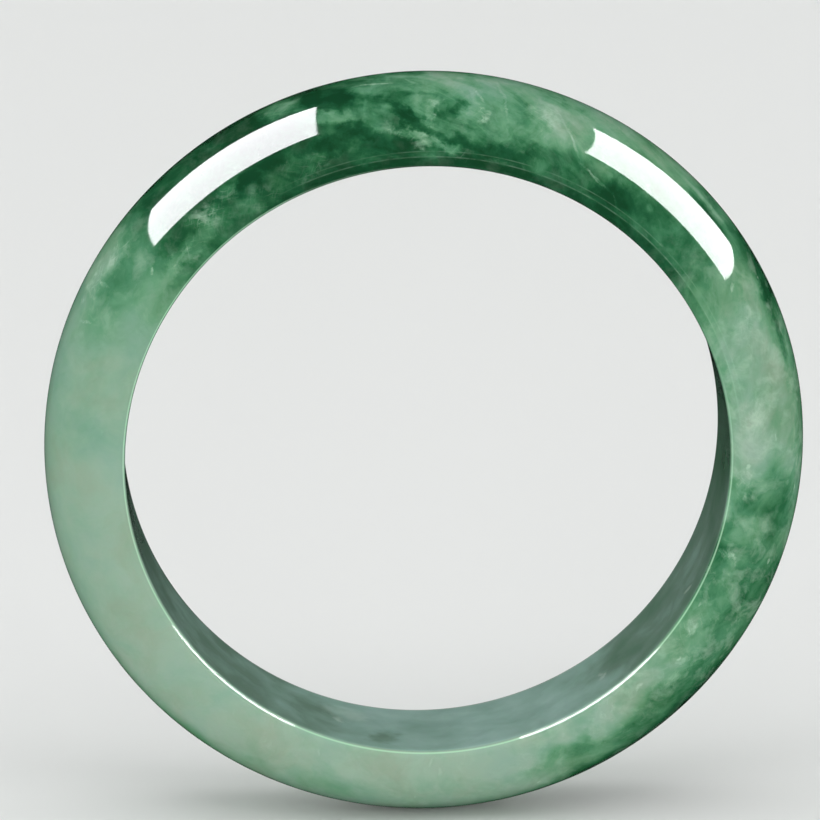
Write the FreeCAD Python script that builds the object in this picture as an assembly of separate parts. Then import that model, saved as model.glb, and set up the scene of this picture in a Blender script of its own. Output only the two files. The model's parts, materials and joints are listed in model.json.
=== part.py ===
import FreeCAD, Part

import math
import os

# A bangle bracelet: one closed ring, cut from a single block of jadeite and polished all over.
# It has no hinge, clasp, lining or setting, so the whole object is one solid in one node.
#
# Frame, in millimetres: the origin is the centre of the bore. The bore runs along Y and the front
# of the ring faces -Y. Z is up, so the ring stands upright on its domed outer face.

# Driving dimensions
BORE_DIAMETER = 56.0  # the size a bangle is sold by, which the hand passes through
WALL = 7.4  # from the bore to the crown of the dome, along the radius
WIDTH = 13.6  # from one side of the ring to the other, along the bore
EDGE_ROUND = 0.7  # radius of the softened edge between the bore and each side

# Worked out from them
bore_radius = BORE_DIAMETER / 2
half_width = WIDTH / 2
shoulder_radius = bore_radius + EDGE_ROUND
crown_radius = bore_radius + WALL
half_bore_length = half_width - EDGE_ROUND


def section_point(radius, along):
    """A point of the ring's section: how far it is from the bore's axis, and where along it."""
    return FreeCAD.Vector(radius, along, 0)


def bore_line():
    """The straight inner wall that lies on the wrist."""
    front = section_point(bore_radius, -half_bore_length)
    back = section_point(bore_radius, half_bore_length)
    return Part.LineSegment(front, back)


def edge_arc(side):
    """The quarter round from the bore to the shoulder, on the front (-1) or the back (1)."""
    reach = EDGE_ROUND * math.sqrt(0.5)
    on_bore = section_point(bore_radius, side * half_bore_length)
    middle = section_point(shoulder_radius - reach, side * (half_bore_length + reach))
    on_shoulder = section_point(shoulder_radius, side * half_width)
    return Part.Arc(on_bore, middle, on_shoulder)


def dome_curve():
    """The domed outer face: half an ellipse, from one shoulder over the crown to the other."""
    poles = [
        section_point(shoulder_radius, half_width),
        section_point(crown_radius, half_width),
        section_point(crown_radius, 0),
        section_point(crown_radius, -half_width),
        section_point(shoulder_radius, -half_width),
    ]
    corner = math.sqrt(0.5)  # the weight that makes each quarter a true ellipse
    dome = Part.BSplineCurve()
    dome.buildFromPolesMultsKnots(
        poles, [3, 2, 3], [0, 1, 2], False, 2, [1, corner, 1, corner, 1]
    )
    return dome


def jade_ring():
    """The ring: its section turned once round the bore's axis."""
    curves = [bore_line(), edge_arc(1), dome_curve(), edge_arc(-1)]
    section = Part.Face(Part.Wire([curve.toShape() for curve in curves]))
    return section.revolve(FreeCAD.Vector(0, 0, 0), FreeCAD.Vector(0, 1, 0), 360)


os.makedirs("parts", exist_ok=True)
ring = jade_ring()
ring.exportStep("parts/jade_ring.step")
print(f"jade_ring: {ring.Volume / 1000:.2f} cm3, outside {2 * crown_radius:.1f} mm, "
      f"straight bore {2 * half_bore_length:.1f} mm long, valid {ring.isValid()}")
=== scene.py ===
import json
import math

import bpy
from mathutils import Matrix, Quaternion, Vector


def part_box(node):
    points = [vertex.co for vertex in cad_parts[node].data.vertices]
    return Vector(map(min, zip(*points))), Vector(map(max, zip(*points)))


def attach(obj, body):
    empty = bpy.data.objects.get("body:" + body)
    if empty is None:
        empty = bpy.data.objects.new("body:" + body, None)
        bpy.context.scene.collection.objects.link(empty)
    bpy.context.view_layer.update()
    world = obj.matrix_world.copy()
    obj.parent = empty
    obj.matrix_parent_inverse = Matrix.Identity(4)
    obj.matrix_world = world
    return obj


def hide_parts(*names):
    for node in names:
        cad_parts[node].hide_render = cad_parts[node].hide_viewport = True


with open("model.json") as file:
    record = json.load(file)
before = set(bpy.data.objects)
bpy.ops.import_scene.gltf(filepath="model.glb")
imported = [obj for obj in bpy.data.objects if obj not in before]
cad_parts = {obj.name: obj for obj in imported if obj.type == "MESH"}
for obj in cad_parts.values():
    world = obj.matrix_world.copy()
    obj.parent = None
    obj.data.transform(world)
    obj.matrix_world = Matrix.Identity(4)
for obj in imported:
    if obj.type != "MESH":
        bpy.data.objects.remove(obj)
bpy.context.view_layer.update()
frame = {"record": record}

bl_info = {
    "name": "Jade Bangle",
    "version": (1, 0, 0),
    "blender": (4, 5, 0),
    "location": "View3D > Sidebar > Bangle",
    "description": "Turns a polished jadeite bangle and stands it in a plain studio",
    "category": "Add Mesh",
}

MM = 0.001

# The ring's own measures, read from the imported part
ring_low, ring_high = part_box("jade_ring")
wrist_bore = frame["record"]["mounts"][0]
BORE_RADIUS = wrist_bore["dims"]["r_mm"] * MM
STRAIGHT_BORE = wrist_bore["dims"]["length_mm"] * MM
CROWN_RADIUS = ring_high.z
RING_WIDTH = ring_high.y - ring_low.y

# How finely the ring is turned, and how near two points are merged
DOME_SEGMENTS = 28
EDGE_SEGMENTS = 8
BORE_CUTS = 19
RING_STEPS = 384
MERGE = 0.002 * MM

# The paper lies flat for 1.2 m round the ring, then sweeps up, so no horizon shows behind it
COVE_RADIUS = 2.2
COVE_CURVE = 1.0
COVE_HEIGHT = 1.1
COVE_SIDES = 128
COVE_STEPS = 24
PAPER_ROUGHNESS = 0.8

# The lights' distance from the ring's centre, and the room's even light
LIGHT_DISTANCE = 0.6
AIR_COLOUR = "#F4F6F8"
AIR_LIGHT = 0.55

# The camera stands a little left of the front and looks down, at a point just above the ring's centre
CAMERA_DISTANCE = 0.695
CAMERA_AZIMUTH = -3.26
CAMERA_ELEVATION = 15.54
AIM_RIGHT = -1.35 * MM
AIM_UP = 3.11 * MM
VIEW_WIDTH = 76.4213 * MM  # what the view takes in from side to side, at the ring's centre
SENSOR = 36.0
NEAREST_SEEN = 0.01

# A Mix node's inputs: its share, then the two numbers or the two colours that it mixes. A mixed
# number is its first output, and a mixed colour is its third.
SHARE, NUMBER_A, NUMBER_B, COLOUR_A, COLOUR_B, MIXED_COLOUR = 0, 2, 3, 6, 7, 2


def colour(code):
    """An sRGB hex colour as the linear red, green, blue and alpha that sockets take."""
    channels = [int(code[i : i + 2], 16) / 255 for i in (1, 3, 5)]
    linear = [c / 12.92 if c <= 0.04045 else ((c + 0.055) / 1.055) ** 2.4 for c in channels]
    return (*linear, 1.0)


def add_node(tree, kind, feeds=None, **settings):
    """Adds one node, sets its options and fills its inputs, each with a plain value, another node
    (its first output is taken) or one of its outputs."""
    made = tree.nodes.new("ShaderNode" + kind)
    for name, value in settings.items():
        setattr(made, name, value)
    for name, value in (feeds or {}).items():
        if isinstance(value, bpy.types.Node):
            value = value.outputs[0]
        if isinstance(value, bpy.types.NodeSocket):
            tree.links.new(value, made.inputs[name])
        else:
            made.inputs[name].default_value = value
    return made


def fill_ramp(node, stops):
    """Sets a colour ramp's stops, each a place from 0 to 1 and a linear colour."""
    ramp = node.color_ramp
    while len(ramp.elements) > 1:
        ramp.elements.remove(ramp.elements[-1])
    ramp.elements[0].position = stops[0][0]
    ramp.elements[0].color = stops[0][1]
    for place, tone in stops[1:]:
        ramp.elements.new(place).color = tone


class RingSizes(bpy.types.PropertyGroup):
    bore_radius: bpy.props.FloatProperty(
        name="Bore radius", description="Half the inner diameter that the bangle is sold by",
        default=BORE_RADIUS, unit="LENGTH")
    wall: bpy.props.FloatProperty(
        name="Wall", description="From the bore to the crown of the dome",
        default=CROWN_RADIUS - BORE_RADIUS, unit="LENGTH")
    width: bpy.props.FloatProperty(
        name="Width", description="From one side of the ring to the other",
        default=RING_WIDTH, unit="LENGTH")
    edge_round: bpy.props.FloatProperty(
        name="Edge round", description="Radius of the edge between the bore and each side",
        default=(RING_WIDTH - STRAIGHT_BORE) / 2, unit="LENGTH")


class StudioSettings(bpy.types.PropertyGroup):
    backdrop: bpy.props.StringProperty(
        name="Backdrop", description="Colour of the backdrop paper", default="#DEDFDD")
    left_power: bpy.props.FloatProperty(
        name="Left softbox", description="Power of the softbox on the left", default=11.0, unit="POWER")
    right_power: bpy.props.FloatProperty(
        name="Right softbox", description="Power of the softbox on the right", default=8.6, unit="POWER")


# The stone is laid out by the hours of a clock face, from nine o'clock round
FIRST_HOUR = 9
HOURS = 12

# How green the stone is, every half hour of a clock face from nine o'clock round: at the rim by the
# bore, on the middle of the front, towards the crown, and how dark the bore wall is painted, partly
# its own stone and partly painted shade. Then how lively its figure is, how much white cotton it holds,
# and how much of the painted dark band and fine lines its edge takes, in place of the lip's painted
# highlight.
STONE_ROUND_THE_CLOCK = [
    (9.0, 0.02, 0.07, 0.15, 0.80, 0.00, 0.05, 0.00),
    (9.5, 0.16, 0.22, 0.18, 0.78, 0.20, 0.10, 0.00),
    (10.0, 0.32, 0.45, 0.34, 0.75, 0.22, 0.35, 0.00),
    (10.5, 0.74, 0.84, 0.92, 0.80, 0.45, 0.12, 0.00),
    (11.0, 0.86, 1.00, 0.98, 0.90, 0.60, 0.08, 0.05),
    (11.5, 0.92, 0.72, 0.80, 0.90, 0.75, 0.06, 0.70),
    (12.0, 0.86, 0.66, 0.46, 0.90, 0.90, 0.08, 1.00),
    (12.5, 0.80, 0.44, 0.32, 0.90, 0.90, 0.10, 1.00),
    (1.0, 0.84, 0.45, 0.38, 0.85, 0.70, 0.08, 1.00),
    (1.5, 0.76, 0.76, 0.34, 0.85, 0.50, 0.08, 1.00),
    (2.0, 0.42, 0.38, 0.86, 0.85, 0.50, 0.35, 1.00),
    (2.5, 0.22, 0.20, 0.54, 0.92, 0.50, 0.50, 0.70),
    (3.0, 0.10, 0.28, 0.32, 0.74, 0.50, 0.65, 0.25),
    (3.5, 0.66, 0.58, 0.46, 0.62, 0.50, 0.50, 0.15),
    (4.0, 0.42, 0.64, 0.76, 0.50, 0.50, 0.50, 0.00),
    (4.5, 0.22, 0.60, 0.92, 0.60, 0.45, 0.45, 0.00),
    (5.0, 0.10, 0.55, 0.92, 0.25, 0.40, 0.40, 0.00),
    (5.5, 0.00, 0.16, 0.60, 0.15, 0.30, 0.30, 0.00),
    # at six and half past six the crown is painted paler: painted light against the shade the floor casts
    # by the foot
    (6.0, 0.02, 0.10, 0.08, 0.18, 0.25, 0.20, 0.00),
    (6.5, 0.02, 0.16, 0.18, 0.20, 0.25, 0.20, 0.00),
    (7.0, -0.04, 0.06, 0.48, 0.48, 0.20, 0.15, 0.00),
    (7.5, 0.00, 0.04, 0.44, 0.46, 0.15, 0.10, 0.00),
    (8.0, 0.04, 0.06, 0.17, 0.44, 0.12, 0.05, 0.00),
    (8.5, 0.05, 0.08, 0.14, 0.45, 0.08, 0.05, 0.00),
]

# Single clouds, pools, streaks and threads in the stone. Each has its hour, its place across the section in
# mm from the front shoulder (below nothing on the bore wall), half its length round the ring and
# half its width in mm, its lean in degrees, how much greener it is, and how much whiter.
STONE_MARKS = [
    # the left shoulder: a fibrous cloud, with threads and a fleck
    (10.12, 7.4, 2.0, 1.1, 14, -0.12, 0.60),
    (9.95, 7.8, 1.1, 0.8, 10, -0.08, 0.80),
    (9.76, 6.4, 0.7, 0.14, 75, -0.10, 0.90),
    (9.98, 6.4, 0.8, 0.14, 84, -0.10, 0.90),
    (9.84, 8.2, 0.4, 0.3, 0, -0.10, 1.00),
    (10.18, 3.2, 2.2, 1.6, 0, -0.06, 0.10),
    (10.40, 1.5, 1.6, 0.13, -5, -0.12, 0.60),
    # the top left: a white cloud, deep pools, and a pale gap between them
    (10.64, 2.6, 1.6, 0.9, 10, -0.18, 0.80),
    (10.95, 3.0, 1.2, 0.8, 0, 0.24, -0.40),
    (11.44, 2.8, 1.6, 0.9, 0, 0.20, -0.50),
    (11.12, 3.6, 1.6, 0.7, 8, 0.14, -0.40),
    (11.25, 2.0, 1.9, 0.7, -10, -0.10, 0.15),
    # one long dark streak that runs down to the edge
    (11.58, 7.8, 1.9, 0.8, 41, 0.10, -0.50),
    (11.72, 6.2, 1.5, 0.6, 20, 0.08, -0.50),
    (11.91, 4.1, 2.4, 0.6, 44, 0.22, -0.50),
    (12.16, 2.0, 2.6, 0.5, 12, 0.16, -0.50),
    (12.46, 1.5, 2.2, 0.5, -6, 0.04, -0.30),
    # pale wisps beside it
    (11.98, 1.9, 3.9, 0.6, 22, -0.26, 0.60),
    (12.03, 4.6, 0.35, 1.2, 10, -0.16, 0.60),
    # short bright threads
    (11.74, 8.7, 1.4, 0.13, 5, -0.10, 0.80),
    (11.93, 8.6, 0.7, 0.14, 50, -0.10, 0.80),
    (12.27, 6.9, 0.8, 0.13, 55, -0.10, 0.90),
    (12.39, 7.2, 2.1, 0.14, 77, -0.10, 0.70),
    # a white fleck, a green one beside it, and faint clouds
    (12.29, 4.6, 0.7, 0.6, 0, -0.12, 1.00),
    (12.17, 5.3, 0.9, 0.6, -50, 0.16, -0.30),
    (12.50, 2.8, 1.4, 0.9, 12, -0.06, 0.10),
    (12.62, 6.6, 1.2, 2.0, 0, -0.04, 0.45),
    # a curved vein, with a leaf at its end
    (12.77, 5.0, 2.7, 0.13, 53, -0.12, 0.60),
    (1.00, 2.2, 2.2, 0.13, 14, -0.12, 0.60),
    (1.16, 1.3, 0.7, 0.13, 40, -0.12, 0.60),
    (1.35, 2.6, 0.5, 0.3, 30, -0.15, 0.60),
    # pale clouds along the rim at the top left
    (10.82, 3.2, 1.0, 0.8, -20, -0.16, 0.45),
    (10.45, 1.3, 5.0, 0.7, 2, -0.18, 0.25),
    (10.98, 0.8, 2.4, 0.9, 0, -0.14, 0.20),
    # pale gaps in the green on both sides of the dark streak
    (11.50, 5.3, 2.0, 0.8, 24, -0.30, 0.05),
    (11.96, 5.6, 1.7, 1.1, 14, -0.18, 0.05),
    # green and pale patches at half past eleven, from the crown to the rim
    (11.54, 7.3, 1.0, 0.9, 20, 0.20, -0.30),
    (11.25, 9.3, 2.0, 1.5, 0, -0.28, 0.20),
    (11.42, 7.9, 0.9, 1.8, 15, 0.18, -0.50),
    (11.33, 1.3, 1.8, 0.6, -20, -0.14, 0.30),
    (11.62, 3.6, 1.8, 0.7, 20, 0.20, -0.10),
    # pale clouds at the top
    (12.22, 5.2, 0.6, 2.2, 8, -0.12, 0.30),
    (12.12, 8.6, 2.4, 1.3, 14, -0.10, 0.30),
    (12.72, 5.6, 2.8, 1.9, -20, -0.12, 0.15),
    # dark oval pools
    (1.18, 2.0, 2.7, 1.0, -6, 0.16, -0.60),
    (1.42, 2.5, 1.5, 0.9, 10, 0.12, -0.40),
    # drawn-out bands by the crown on the upper right, and one deep pool
    (1.58, 8.0, 3.0, 0.35, 6, -0.22, 0.20),
    (1.64, 6.9, 2.8, 0.3, 4, 0.16, -0.20),
    (2.16, 8.0, 0.7, 1.8, 10, 0.24, -0.50),
    (2.42, 7.0, 2.2, 0.5, 6, 0.16, -0.30),
    # white clouds from two o'clock to three
    (2.25, 3.4, 2.4, 1.5, 30, -0.08, 0.35),
    (2.74, 1.6, 1.3, 1.4, -10, -0.12, 0.60),
    (3.16, 0.4, 1.6, 0.6, 0, -0.14, 0.75),
    # green swirls on the right
    (3.32, 1.7, 1.1, 1.6, -24, 0.06, -0.50),
    (3.36, 5.4, 2.3, 2.0, 0, 0.14, -0.40),
    (3.10, 4.2, 1.8, 1.6, 0, 0.12, -0.30),
    # white clouds along the rim at the lower right
    (3.62, 0.9, 0.5, 0.8, 20, -0.10, 0.70),
    (4.12, 0.7, 2.2, 0.8, 8, -0.10, 0.80),
    (4.42, 2.0, 3.0, 1.0, 30, -0.12, 0.35),
    (4.86, 0.6, 1.4, 0.8, -20, -0.14, 0.60),
    # green clouds beside them, and a white one below
    (4.60, 5.6, 3.6, 2.0, -6, 0.04, -0.40),
    (5.02, 4.9, 3.0, 1.6, 8, 0.06, -0.30),
    (5.10, 2.9, 1.2, 1.2, 0, 0.10, -0.20),
    (5.05, 1.6, 0.5, 0.9, 10, 0.14, -0.20),
    (5.42, 2.1, 1.2, 0.7, -15, -0.10, 0.50),
    # the foot: faint green, and one white cloud
    (6.55, 4.9, 4.6, 1.5, 4, 0.12, -0.20),
    (6.95, 5.8, 2.4, 1.0, 10, 0.10, -0.20),
    (6.98, 2.4, 0.7, 0.9, 0, -0.08, 0.50),
    # on the bore wall
    (3.97, -3.6, 0.9, 0.3, 35, 0.0, 0.90),
    (4.78, -5.4, 0.4, 1.0, 10, 0.0, 0.80),
    (6.26, -3.9, 1.3, 2.4, 25, 0.22, -0.20),
    (6.55, -6.6, 0.7, 0.7, 0, 0.0, 0.90),
    (6.50, -9.2, 2.4, 1.6, 0, -0.10, 0.50),
]

# A mark fades out at one and a half times its half size, and is full over the core inside that. Its
# border is torn by this many mm, or only rippled where the mark is as narrow as a thread.
MARK_FADE = 1.5
MARK_CORE = 0.73
MARK_TEAR = 3.6
THREAD_RIPPLE = 0.9
THREAD_WIDTH = 0.4

# Sizes in the stone, in mm: the slow drift of the colours and how far it moves them, the pools, the
# slanting brush strokes, the flames, the felt of single crystals, a mark's frayed border, the cast,
# the cotton clouds, the needles and the strands. What the drift moves round the ring is a share of
# a turn.
DRIFT_SIZE = 7.0
DRIFT_REACH = 5.0
DRIFT_ROUND = 0.08
POOL_SIZE = 5.0
STROKE_LENGTH = 4.2
STROKE_WIDTH = 1.7
STROKE_LEAN = -28
FLAME_SIZE = 1.6
FELT_SIZE = 0.7
FRAY_SIZE = 2.2
CAST_SIZE = 6.0
CLOUD_SIZE = 2.0
NEEDLE_SPACING = 1.4
NEEDLE_SQUEEZE = 0.45
STRAND_LENGTH = 1.8
STRAND_WIDTH = 0.17
STRAND_LEANS = (24, -46)

# Where the greens of the front meet, in mm from the shoulder: rim to middle, and middle to crown
RIM_MEETS_MIDDLE = (1.5, 3.5)
MIDDLE_MEETS_CROWN = (5.0, 8.0)

# How strongly each figure swings the green, and the least of it in calm stone
POOL_SWING = 0.8
STROKE_SWING = 0.9
FLAME_SWING = 0.5
FELT_SWING = 0.10
CALM_SWING = 0.15

# The dark band along the bore's edge, painted shade where the steep rounded edge mirrors dark air: where it
# starts and is full, in mm from the shoulder, and how much greener it is. Its two fine lines, painted
# reflections of the far side seen through the stone, and the lip's painted highlight: place, half width and
# strength.
BAND_START = 0.45
BAND_FULL = 0.15
BAND_SHADE = 0.16
NEAR_LINE = (0.35, 0.09, 0.24)
FAR_LINE = (0.85, 0.08, 0.16)
# the painted highlight along the bore's rounded lip
LIP_HIGHLIGHT = (0.19, 0.09, 0.85)  # its place counts outwards from the bore

# The cotton's tips and its cover, then the far edge of the bore wall: how wide its painted highlight strip
# is in mm, over how many mm it fades in, how strong it is, and how much of a white mark shows on the wall
NEEDLE_SHARE_LEFT_OUT = 0.7
NEEDLE_STRENGTH = 2.0
COTTON_COVER = 0.7
FAR_EDGE_WIDTH = 0.35
FAR_EDGE_FADE = 0.3
FAR_EDGE_STRENGTH = 0.35
WALL_MARK_SHARE = 0.45


def jadeite_material():
    """Jadeite, ground and polished with fine grit to a mirror: a dense stone of felted crystals that
    light enters, so the colour is soft and deep under a hard wet gloss."""
    stone = bpy.data.materials.new("jadeite_mirror_polished")
    stone.use_nodes = True
    tree = stone.node_tree
    tree.nodes.clear()

    in_metres = add_node(tree, "TexCoord").outputs["Object"]
    place = add_node(tree, "VectorMath", {0: in_metres, "Scale": 1 / MM}, operation="SCALE")
    along_x, along_y, along_z = add_node(tree, "SeparateXYZ", {0: place}).outputs

    # slow drift of the colours' borders, so that none follows a circle
    drift = add_node(tree, "TexNoise", {"Vector": place, "Scale": 1 / DRIFT_SIZE, "Detail": 3.0})
    centred = add_node(tree, "VectorMath", {0: drift.outputs["Color"], 1: (0.5, 0.5, 0.5)},
                       operation="SUBTRACT")
    bent = add_node(tree, "VectorMath", {0: centred, "Scale": DRIFT_REACH}, operation="SCALE")
    flow = add_node(tree, "VectorMath", {0: place, 1: bent}, operation="ADD")
    drift_round, drift_across = add_node(tree, "SeparateXYZ", {0: centred}).outputs[:2]

    # place round the ring, as a share of a turn from nine o'clock
    angle = add_node(tree, "Math", {0: along_x, 1: along_z}, operation="ARCTAN2")
    turn = add_node(tree, "Math", {0: angle, 1: 0.5 / math.pi, 2: 0.25}, operation="MULTIPLY_ADD")
    loose = add_node(tree, "Math", {0: drift_round, 1: DRIFT_ROUND, 2: turn}, operation="MULTIPLY_ADD")
    clock = add_node(tree, "Math", {0: loose}, operation="FRACT")
    steady_clock = add_node(tree, "Math", {0: turn}, operation="FRACT")

    # place across the section, in mm: nothing at the front shoulder, growing to the crown and on to
    # the back shoulder; on the bore wall it falls below nothing, from the front edge to the back
    flat = add_node(tree, "CombineXYZ", {"X": along_x, "Z": along_z})
    radius = add_node(tree, "VectorMath", {0: flat}, operation="LENGTH").outputs["Value"]
    edge_round = (RING_WIDTH - STRAIGHT_BORE) / 2 / MM
    bore_radius = BORE_RADIUS / MM
    out = add_node(tree, "Math", {0: radius, 1: bore_radius + edge_round}, operation="SUBTRACT")
    towards_front = add_node(tree, "Math", {0: along_y, 1: -1.0}, operation="MULTIPLY")
    section_turn = add_node(tree, "Math", {0: out, 1: towards_front}, operation="ARCTAN2")
    dome_radius = RING_WIDTH / 2 / MM
    crown = dome_radius * math.pi / 2
    on_dome = add_node(tree, "Math", {0: section_turn, 1: dome_radius}, operation="MULTIPLY")
    depth = add_node(tree, "Math", {0: towards_front, 1: dome_radius}, operation="SUBTRACT")
    inside = add_node(tree, "MapRange", {
        "Value": radius,
        "From Min": bore_radius + 0.12 * edge_round,
        "From Max": bore_radius + 0.02 * edge_round,
    }, interpolation_type="SMOOTHSTEP")
    across = add_node(tree, "Mix", {SHARE: inside, NUMBER_A: on_dome, NUMBER_B: depth})

    # the same with the back folded onto the front, for what both sides have
    off_crown = add_node(tree, "Math", {0: on_dome, 1: crown}, operation="SUBTRACT")
    off_crown = add_node(tree, "Math", {0: off_crown}, operation="ABSOLUTE")
    folded = add_node(tree, "Math", {0: crown, 1: off_crown}, operation="SUBTRACT")
    spread = add_node(tree, "Math", {0: drift_across, 1: DRIFT_REACH, 2: folded}, operation="MULTIPLY_ADD")

    # the table of the stone round the clock, closed by its first row
    green_by_clock = add_node(tree, "ValToRGB", {"Fac": clock})
    rest_by_clock = add_node(tree, "ValToRGB", {"Fac": clock})
    rows = [*STONE_ROUND_THE_CLOCK, STONE_ROUND_THE_CLOCK[0]]
    shares = [i / len(STONE_ROUND_THE_CLOCK) for i in range(len(rows))]
    fill_ramp(green_by_clock, [(share, (*row[1:4], 1)) for share, row in zip(shares, rows)])
    fill_ramp(rest_by_clock, [(share, row[4:8]) for share, row in zip(shares, rows)])
    rim, middle, outer = add_node(tree, "SeparateColor", {0: green_by_clock}).outputs
    # the wall column is how dark the bore wall is painted: partly its own stone, partly painted shade
    wall, lively, cottony = add_node(tree, "SeparateColor", {0: rest_by_clock}).outputs
    edge_shade_share = rest_by_clock.outputs["Alpha"]

    green = rim
    for (start, end), nearer in ((RIM_MEETS_MIDDLE, middle), (MIDDLE_MEETS_CROWN, outer)):
        share = add_node(tree, "MapRange", {"Value": spread, "From Min": start, "From Max": end},
                         interpolation_type="SMOOTHSTEP")
        green = add_node(tree, "Mix", {SHARE: share, NUMBER_A: green, NUMBER_B: nearer})

    # the marks' own map: round the ring and across the section, in mm
    middle_round = math.pi * (bore_radius + CROWN_RADIUS / MM)
    around = add_node(tree, "Math", {0: steady_clock, 1: middle_round}, operation="MULTIPLY")
    laid_out = add_node(tree, "CombineXYZ", {"X": around, "Y": across})

    # the stone's figure: pools of deeper green, slanting brush strokes, finer flames in them, and the
    # felt of single crystals, well under a millimetre
    pools = add_node(tree, "TexNoise", {
        "Vector": flow, "Scale": 1 / POOL_SIZE, "Detail": 4.0, "Roughness": 0.5})
    flames = add_node(tree, "TexNoise", {
        "Vector": flow, "Scale": 1 / FLAME_SIZE, "Detail": 5.0, "Roughness": 0.65})
    slanting = add_node(tree, "Mapping", {
        "Vector": laid_out, "Rotation": (0, 0, math.radians(STROKE_LEAN)),
        "Scale": (STROKE_LENGTH, STROKE_WIDTH, 1),
    }, vector_type="TEXTURE")
    strokes = add_node(tree, "TexNoise", {
        "Vector": slanting, "Scale": 1.0, "Detail": 6.0, "Roughness": 0.58, "Distortion": 0.7})
    frayed = add_node(tree, "VectorMath", {0: flames.outputs["Color"], 1: flow}, operation="ADD")
    felt = add_node(tree, "TexVoronoi", {"Vector": frayed, "Scale": 1 / FELT_SIZE}).outputs["Color"]
    calmer = add_node(tree, "Math", {0: lively, 1: CALM_SWING}, operation="ADD")
    for figure, strength, share in (
        (pools, POOL_SWING, calmer),
        (strokes, STROKE_SWING, lively),
        (flames, FLAME_SWING, calmer),
        (felt, FELT_SWING, calmer),
    ):
        swing = add_node(tree, "Math", {0: figure, 1: 0.5}, operation="SUBTRACT")
        swing = add_node(tree, "Math", {0: swing, 1: strength}, operation="MULTIPLY")
        green = add_node(tree, "Math", {0: swing, 1: share, 2: green}, operation="MULTIPLY_ADD")

    # the single marks, with frayed borders
    fray = add_node(tree, "TexNoise", {
        "Vector": place, "Scale": 1 / FRAY_SIZE, "Detail": 5.0, "Roughness": 0.65})
    fray = add_node(tree, "VectorMath", {0: fray.outputs["Color"], 1: (0.5, 0.5, 0.5)},
                    operation="SUBTRACT")
    torn, rippled = [
        add_node(tree, "VectorMath", {0: fray, 1: (reach, reach, 0.0), 2: laid_out},
                 operation="MULTIPLY_ADD")
        for reach in (MARK_TEAR, THREAD_RIPPLE)
    ]
    greener_here = 0.0
    whiter_here = 0.0
    for hour, mark_across, length, width, lean, greener, whiter in STONE_MARKS:
        mark_round = (hour - FIRST_HOUR) % HOURS / HOURS * middle_round
        in_mark = add_node(tree, "Mapping", {
            "Vector": rippled if width < THREAD_WIDTH else torn,
            "Location": (mark_round, mark_across, 0),
            "Rotation": (0, 0, math.radians(-lean)),
            "Scale": (length * MARK_FADE, width * MARK_FADE, 1),
        }, vector_type="TEXTURE")
        ball = add_node(tree, "TexGradient", {"Vector": in_mark}, gradient_type="SPHERICAL")
        share = add_node(tree, "MapRange", {"Value": ball.outputs["Fac"], "From Max": MARK_CORE},
                         interpolation_type="SMOOTHSTEP", clamp=False)
        greener_here = add_node(tree, "Math", {0: share, 1: greener, 2: greener_here},
                                operation="MULTIPLY_ADD")
        whiter_here = add_node(tree, "Math", {0: share, 1: whiter, 2: whiter_here},
                               operation="MULTIPLY_ADD")
    green = add_node(tree, "Math", {0: green, 1: greener_here}, operation="ADD")
    white = add_node(tree, "Math", {0: cottony, 1: whiter_here}, operation="ADD")
    white = add_node(tree, "Math", {0: white, 1: 0.0}, operation="MAXIMUM")

    # along the bore's edge: a deep green band of painted shade, where the steep rounded edge mirrors dark
    # air, closed by two fine lines painted where the far side shows through, and a painted highlight on the
    # rounded lip where the stone is pale
    band = add_node(tree, "MapRange", {"Value": folded, "From Min": BAND_START, "From Max": BAND_FULL})
    band = add_node(tree, "Math", {0: band, 1: edge_shade_share}, operation="MULTIPLY")
    green = add_node(tree, "Math", {0: band, 1: BAND_SHADE, 2: green}, operation="MULTIPLY_ADD")
    uneven = add_node(tree, "MapRange", {"Value": flames, "From Min": 0.35, "From Max": 0.65})
    fine_lines = add_node(tree, "Math", {0: edge_shade_share, 1: uneven}, operation="MULTIPLY")
    # the lip's painted highlight shows where the painted dark band does not
    lip_highlight_share = add_node(tree, "Math", {0: 1.0, 1: edge_shade_share}, operation="SUBTRACT")
    lines = 0.0
    for where, start, (line_place, reach, strength), stone_share in (
        (folded, 0.0, NEAR_LINE, fine_lines),
        (folded, 0.0, FAR_LINE, fine_lines),
        (radius, bore_radius, LIP_HIGHLIGHT, lip_highlight_share),
    ):
        off = add_node(tree, "Math", {0: where, 1: start + line_place}, operation="SUBTRACT")
        off = add_node(tree, "Math", {0: off}, operation="ABSOLUTE")
        line = add_node(tree, "MapRange", {
            "Value": off, "From Min": reach, "From Max": 0.0, "To Max": strength})
        lines = add_node(tree, "Math", {0: line, 1: stone_share, 2: lines}, operation="MULTIPLY_ADD")

    # the stone's own colour, from nearly white to the darkest green
    body = add_node(tree, "ValToRGB", {"Fac": green})
    fill_ramp(body, [
        (0.0, colour("#98B09E")),
        (0.2, colour("#84A78F")),
        (0.4, colour("#6A9B79")),
        (0.55, colour("#508763")),
        (0.7, colour("#356F4B")),
        (0.85, colour("#205838")),
        (1.0, colour("#16472A")),
    ])

    # a cast that wanders between warm grey and blue, which shows most where the stone is pale
    cast = add_node(tree, "TexNoise", {
        "Vector": frayed, "Scale": 1 / CAST_SIZE, "Detail": 5.0, "Roughness": 0.55})
    cast = add_node(tree, "ValToRGB", {"Fac": cast.outputs["Fac"]})
    fill_ramp(cast, [(0.3, colour("#FFF5F2")), (0.5, colour("#FFFFFF")), (0.7, colour("#F1FAFD"))])
    body = add_node(tree, "Mix", {SHARE: 1.0, COLOUR_A: body, COLOUR_B: cast},
                    data_type="RGBA", blend_type="MULTIPLY").outputs[MIXED_COLOUR]

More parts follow.
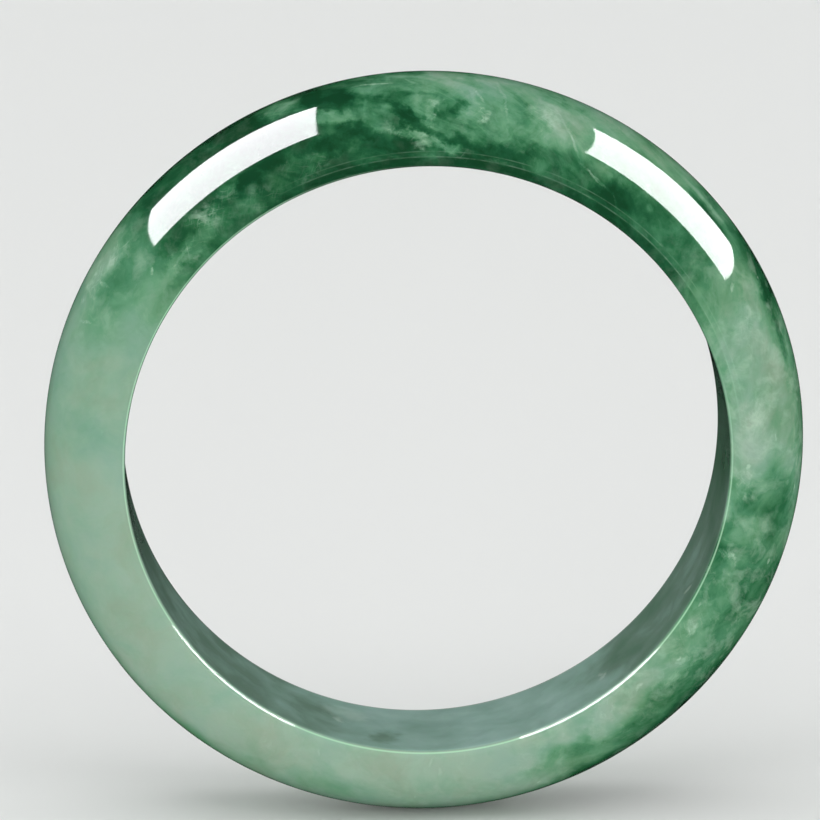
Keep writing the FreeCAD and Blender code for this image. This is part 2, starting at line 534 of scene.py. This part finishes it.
    # white cotton: clouds a millimetre or two across with crisp torn edges, and a scatter of short
    # bright needles
    clouds = add_node(tree, "TexNoise", {
        "Vector": flow, "Scale": 1 / CLOUD_SIZE, "Detail": 7.0, "Roughness": 0.62})
    clouds = add_node(tree, "MapRange", {"Value": clouds, "From Min": 0.48, "From Max": 0.66})
    veil = add_node(tree, "Math", {0: clouds, 1: white}, operation="MULTIPLY")
    squeezed = add_node(tree, "VectorMath", {0: frayed, 1: (1.0, 1.0, NEEDLE_SQUEEZE)},
                        operation="MULTIPLY")
    needles = add_node(tree, "TexVoronoi", {"Vector": squeezed, "Scale": 1 / NEEDLE_SPACING})
    keep = add_node(tree, "Math", {0: needles.outputs["Color"], 1: NEEDLE_SHARE_LEFT_OUT},
                    operation="GREATER_THAN")
    tips = add_node(tree, "MapRange", {
        "Value": needles.outputs["Distance"], "From Min": 0.16, "From Max": 0.05})
    tips = add_node(tree, "Math", {0: tips, 1: keep}, operation="MULTIPLY")
    tips = add_node(tree, "Math", {0: tips, 1: white}, operation="MULTIPLY")
    veil = add_node(tree, "Math", {0: tips, 1: NEEDLE_STRENGTH, 2: veil},
                    operation="MULTIPLY_ADD", use_clamp=True)

    # strands of fibrous crystal, some 2 mm long, that cross each other inside the white marks
    strands = 0.0
    for lean in STRAND_LEANS:
        combed = add_node(tree, "Mapping", {
            "Vector": rippled, "Rotation": (0, 0, math.radians(-lean)),
            "Scale": (STRAND_LENGTH, STRAND_WIDTH, 1),
        }, vector_type="TEXTURE")
        strand = add_node(tree, "TexNoise", {
            "Vector": combed, "Scale": 1.0, "Detail": 3.0, "Roughness": 0.6})
        strand = add_node(tree, "MapRange", {"Value": strand, "From Min": 0.56, "From Max": 0.78})
        strands = add_node(tree, "Math", {0: strand, 1: strands}, operation="MAXIMUM")
    fibrous = add_node(tree, "Math", {0: whiter_here, 1: 0.0}, operation="MAXIMUM")
    veil = add_node(tree, "Math", {0: strands, 1: fibrous, 2: veil},
                    operation="MULTIPLY_ADD", use_clamp=True)
    veil = add_node(tree, "Math", {0: veil, 1: COTTON_COVER}, operation="MULTIPLY")
    veiled = add_node(tree, "Mix", {SHARE: veil, COLOUR_A: body, COLOUR_B: colour("#B3CDB8")},
                      data_type="RGBA").outputs[MIXED_COLOUR]
    # the painted edge lines and the lip's painted highlight laid over the stone's colour
    front = add_node(tree, "Mix", {SHARE: lines, COLOUR_A: veiled, COLOUR_B: colour("#BDE6C7")},
                     data_type="RGBA").outputs[MIXED_COLOUR]

    # the bore wall, painted greyer and darker than the front as painted shade and painted dark reflection,
    # on top of its own pools and marks: from cloudy blue-grey to bottle green
    wall_tone_and_shade = add_node(tree, "Math", {0: pools, 1: 0.5}, operation="SUBTRACT")
    wall_tone_and_shade = add_node(tree, "Math", {0: wall_tone_and_shade, 1: POOL_SWING, 2: wall}, operation="MULTIPLY_ADD")
    wall_tone_and_shade = add_node(tree, "Math", {0: wall_tone_and_shade, 1: greener_here}, operation="ADD")
    wall_colour_and_shade = add_node(tree, "ValToRGB", {"Fac": wall_tone_and_shade})
    fill_ramp(wall_colour_and_shade, [
        (0.0, colour("#A3C0B8")),
        (0.3, colour("#8CAB9E")),
        (0.5, colour("#748F80")),
        (0.7, colour("#62826E")),
        (0.85, colour("#587B64")),
        (1.0, colour("#4A6B55")),
    ])
    # a painted highlight strip along the far, rounded edge of the bore wall, with the wall's own white
    # marks mixed in
    far_edge_place = FAR_EDGE_WIDTH - STRAIGHT_BORE / MM - edge_round
    far_edge_highlight_and_marks = add_node(tree, "Math", {0: across, 1: far_edge_place}, operation="SUBTRACT")
    far_edge_highlight_and_marks = add_node(tree, "MapRange", {
        "Value": far_edge_highlight_and_marks, "From Min": 0.0, "From Max": -FAR_EDGE_FADE, "To Max": FAR_EDGE_STRENGTH})
    far_edge_highlight_and_marks = add_node(tree, "Math", {0: whiter_here, 1: WALL_MARK_SHARE, 2: far_edge_highlight_and_marks},
                        operation="MULTIPLY_ADD", use_clamp=True)
    wall_colour_and_shade = add_node(tree, "Mix", {SHARE: far_edge_highlight_and_marks, COLOUR_A: wall_colour_and_shade, COLOUR_B: colour("#C2D3C6")},
                         data_type="RGBA").outputs[MIXED_COLOUR]
    shown = add_node(tree, "Mix", {SHARE: inside, COLOUR_A: front, COLOUR_B: wall_colour_and_shade},
                     data_type="RGBA").outputs[MIXED_COLOUR]

    gloss = add_node(tree, "BsdfPrincipled", {
        "Base Color": shown,
        "Roughness": 0.04,
        "IOR": 1.66,
        "Subsurface Weight": 1.0,
        "Subsurface Radius": (0.75, 1.0, 0.8),
        "Subsurface Scale": 0.6 * MM,
    })
    add_node(tree, "OutputMaterial", {"Surface": gloss})
    return stone


def paper_material(code):
    """Matte backdrop paper: plain and without texture, so it gives only soft bounced light."""
    paper = bpy.data.materials.new("matte_backdrop_paper")
    paper.use_nodes = True
    shader = paper.node_tree.nodes["Principled BSDF"]
    shader.inputs["Base Color"].default_value = colour(code)
    shader.inputs["Roughness"].default_value = PAPER_ROUGHNESS
    return paper


def select_vertices(mesh, wanted):
    """Selects the vertices that pass a test of their place, and the edges between them."""
    bpy.ops.object.mode_set(mode="OBJECT")
    for part in (mesh.polygons, mesh.edges, mesh.vertices):
        for element in part:
            element.select = False
    for vertex in mesh.vertices:
        vertex.select = wanted(vertex.co)
    bpy.ops.object.mode_set(mode="EDIT")


class BANGLE_OT_jade_ring(bpy.types.Operator):
    """Turn the polished jade ring from its section"""

    bl_idname = "bangle.jade_ring"
    bl_label = "Jade Ring"

    def execute(self, context):
        sizes = context.scene.bangle_ring
        dome_reach = sizes.wall - sizes.edge_round
        bpy.ops.object.select_all(action="DESELECT")
        bpy.ops.mesh.primitive_plane_add(size=1, location=(0, 0, 0))
        ring = context.object
        ring.name = "polished_jade_ring"
        mesh = ring.data
        bpy.ops.object.mode_set(mode="EDIT")
        bpy.ops.mesh.select_mode(type="VERT")
        bpy.ops.mesh.select_all(action="SELECT")
        middle = sizes.bore_radius + sizes.wall / 2
        bpy.ops.transform.resize(value=(sizes.wall, 2 * dome_reach, 1), center_override=(0, 0, 0))
        bpy.ops.transform.translate(value=(middle, 0, 0))

        # the dome: both outer corners rounded until they meet at the crown, then drawn to full width
        select_vertices(mesh, lambda place: place.x > middle)
        bpy.ops.mesh.bevel(offset=dome_reach, segments=DOME_SEGMENTS, profile=0.5,
                           affect="VERTICES", clamp_overlap=False)
        bpy.ops.mesh.select_all(action="SELECT")
        bpy.ops.mesh.remove_doubles(threshold=MERGE)
        bpy.ops.transform.resize(value=(1, sizes.width / (2 * dome_reach), 1), center_override=(0, 0, 0))

        # the softened edges, and rows across the straight bore
        on_bore = sizes.bore_radius + MERGE
        select_vertices(mesh, lambda place: place.x < on_bore)
        bpy.ops.mesh.bevel(offset=sizes.edge_round, segments=EDGE_SEGMENTS, profile=0.5,
                           affect="VERTICES", clamp_overlap=False)
        bpy.ops.mesh.select_all(action="SELECT")
        bpy.ops.mesh.remove_doubles(threshold=MERGE)
        select_vertices(mesh, lambda place: place.x < on_bore)
        bpy.ops.mesh.subdivide(number_cuts=BORE_CUTS)

        # the section's outline turned once round the bore's axis
        bpy.ops.mesh.select_all(action="SELECT")
        bpy.ops.mesh.delete(type="ONLY_FACE")
        bpy.ops.mesh.select_all(action="SELECT")
        bpy.ops.mesh.spin(steps=RING_STEPS, angle=math.tau, center=(0, 0, 0), axis=(0, 1, 0))
        bpy.ops.mesh.select_all(action="SELECT")
        bpy.ops.mesh.remove_doubles(threshold=MERGE)
        bpy.ops.mesh.normals_make_consistent(inside=False)
        bpy.ops.object.mode_set(mode="OBJECT")
        bpy.ops.object.shade_smooth()

        mesh.materials.append(jadeite_material())
        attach(ring, "root")
        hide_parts("jade_ring")
        return {"FINISHED"}


def direction(azimuth, elevation):
    """A unit vector from the ring's centre: azimuth 0 is the front, 90 the right."""
    turn, rise = math.radians(azimuth), math.radians(elevation)
    return Vector((math.sin(turn) * math.cos(rise), -math.cos(turn) * math.cos(rise), math.sin(rise)))


def hang_light(kind, name, azimuth, elevation, roll=0.0):
    """Hangs a light out of the camera's sight, facing the ring's centre and rolled about its own axis."""
    bpy.ops.object.light_add(type=kind, location=direction(azimuth, elevation) * LIGHT_DISTANCE)
    lamp = bpy.context.object
    facing = (-lamp.location).to_track_quat("-Z", "Y")
    lamp.name = name
    lamp.rotation_mode = "QUATERNION"
    lamp.rotation_quaternion = facing @ Quaternion((0, 0, 1), math.radians(roll))
    lamp.visible_camera = False
    return lamp


class BANGLE_OT_studio(bpy.types.Operator):
    """Set up the paper floor, the softboxes and fill lights, and the camera"""

    bl_idname = "bangle.studio"
    bl_label = "Studio"

    def execute(self, context):
        studio = context.scene.bangle_studio
        bpy.ops.object.select_all(action="DESELECT")
        bpy.ops.mesh.primitive_cylinder_add(
            vertices=COVE_SIDES, radius=COVE_RADIUS, depth=COVE_HEIGHT,
            location=(0, 0, ring_low.z + COVE_HEIGHT / 2))
        floor = context.object
        floor.name = "paper_cove"
        bpy.ops.object.transform_apply(location=True, rotation=True, scale=True)
        cove_top = ring_low.z + COVE_HEIGHT - MERGE
        cove_foot = ring_low.z + MERGE
        select_vertices(floor.data, lambda place: place.z > cove_top)
        bpy.ops.mesh.delete(type="ONLY_FACE")
        select_vertices(floor.data, lambda place: place.z < cove_foot)
        bpy.ops.mesh.bevel(offset=COVE_CURVE, segments=COVE_STEPS, profile=0.5, affect="EDGES")
        bpy.ops.mesh.select_all(action="SELECT")
        bpy.ops.mesh.normals_make_consistent(inside=True)
        bpy.ops.object.mode_set(mode="OBJECT")
        bpy.ops.object.shade_smooth()
        floor.data.materials.append(paper_material(studio.backdrop))
        floor.visible_glossy = False
        floor.visible_shadow = False

        # the softboxes give the polish its two white strips
        softboxes = [
            # name, azimuth, elevation, roll, width, height, power, tint
            ("left_softbox", -81.8, 50.6, -10.1, 0.587, 0.431, studio.left_power, "#FDFAFF"),
            ("right_softbox", 81.6, 35.2, 8.6, 0.542, 0.381, studio.right_power, "#FFFFFF"),
        ]
        for name, azimuth, elevation, roll, wide, high, power, tint in softboxes:
            box = hang_light("AREA", name, azimuth, elevation, roll)
            box.data.shape = "RECTANGLE"
            box.data.size = wide
            box.data.size_y = high
            box.data.energy = power
            box.data.color = colour(tint)[:3]
            box.visible_diffuse = False

        # the fills only brighten the stone, and the polish doesn't mirror them
        fills = [
            # name, azimuth, elevation, breadth in degrees, strength
            ("front_fill", -3.0, 8.0, 16.0, 0.72),
            ("left_fill", -55.0, 12.0, 22.0, 0.84),
            ("right_fill", 55.0, 12.0, 22.0, 0.84),
            ("top_fill", 0.0, 80.0, 60.0, 1.00),
            ("back_fill", 180.0, 15.0, 28.0, 0.74),
        ]
        for name, azimuth, elevation, breadth, strength in fills:
            fill = hang_light("SUN", name, azimuth, elevation)
            fill.data.angle = math.radians(breadth)
            fill.data.energy = strength
            fill.visible_glossy = False

        # the air's even light, which the polish doesn't mirror either, so the greens stay deep
        world = bpy.data.worlds.new("studio_air")
        world.use_nodes = True
        air = world.node_tree.nodes["Background"]
        air.inputs["Color"].default_value = colour(AIR_COLOUR)
        air.inputs["Strength"].default_value = AIR_LIGHT
        world.cycles_visibility.glossy = False
        context.scene.world = world
        context.scene.view_settings.view_transform = "Standard"

        back = direction(CAMERA_AZIMUTH, CAMERA_ELEVATION)
        bpy.ops.object.camera_add(location=back * CAMERA_DISTANCE)
        camera = context.object
        facing = (-back).to_track_quat("-Z", "Y")
        right = facing @ Vector((1, 0, 0))
        up = facing @ Vector((0, 1, 0))
        aim = right * AIM_RIGHT + up * AIM_UP
        camera.rotation_mode = "QUATERNION"
        camera.rotation_quaternion = (aim - camera.location).to_track_quat("-Z", "Y")
        camera.data.sensor_width = SENSOR
        camera.data.lens = SENSOR * CAMERA_DISTANCE / VIEW_WIDTH
        camera.data.clip_start = NEAREST_SEEN
        context.scene.camera = camera
        return {"FINISHED"}


class BANGLE_PT_panel(bpy.types.Panel):
    bl_label = "Jade Bangle"
    bl_idname = "BANGLE_PT_panel"
    bl_space_type = "VIEW_3D"
    bl_region_type = "UI"
    bl_category = "Bangle"

    def draw(self, context):
        for operator in OPERATORS:
            self.layout.operator(operator.bl_idname)
        for group in (context.scene.bangle_ring, context.scene.bangle_studio):
            for name in group.bl_rna.properties.keys():
                if name not in ("rna_type", "name"):
                    self.layout.prop(group, name)


OPERATORS = (BANGLE_OT_jade_ring, BANGLE_OT_studio)
CLASSES = (RingSizes, StudioSettings, *OPERATORS, BANGLE_PT_panel)


def register():
    for kind in CLASSES:
        bpy.utils.register_class(kind)
    bpy.types.Scene.bangle_ring = bpy.props.PointerProperty(type=RingSizes)
    bpy.types.Scene.bangle_studio = bpy.props.PointerProperty(type=StudioSettings)


def unregister():
    del bpy.types.Scene.bangle_studio
    del bpy.types.Scene.bangle_ring
    for kind in reversed(CLASSES):
        bpy.utils.unregister_class(kind)


def main():
    register()
    bpy.ops.bangle.jade_ring()
    bpy.ops.bangle.studio()


if __name__ == "__main__":
    main()
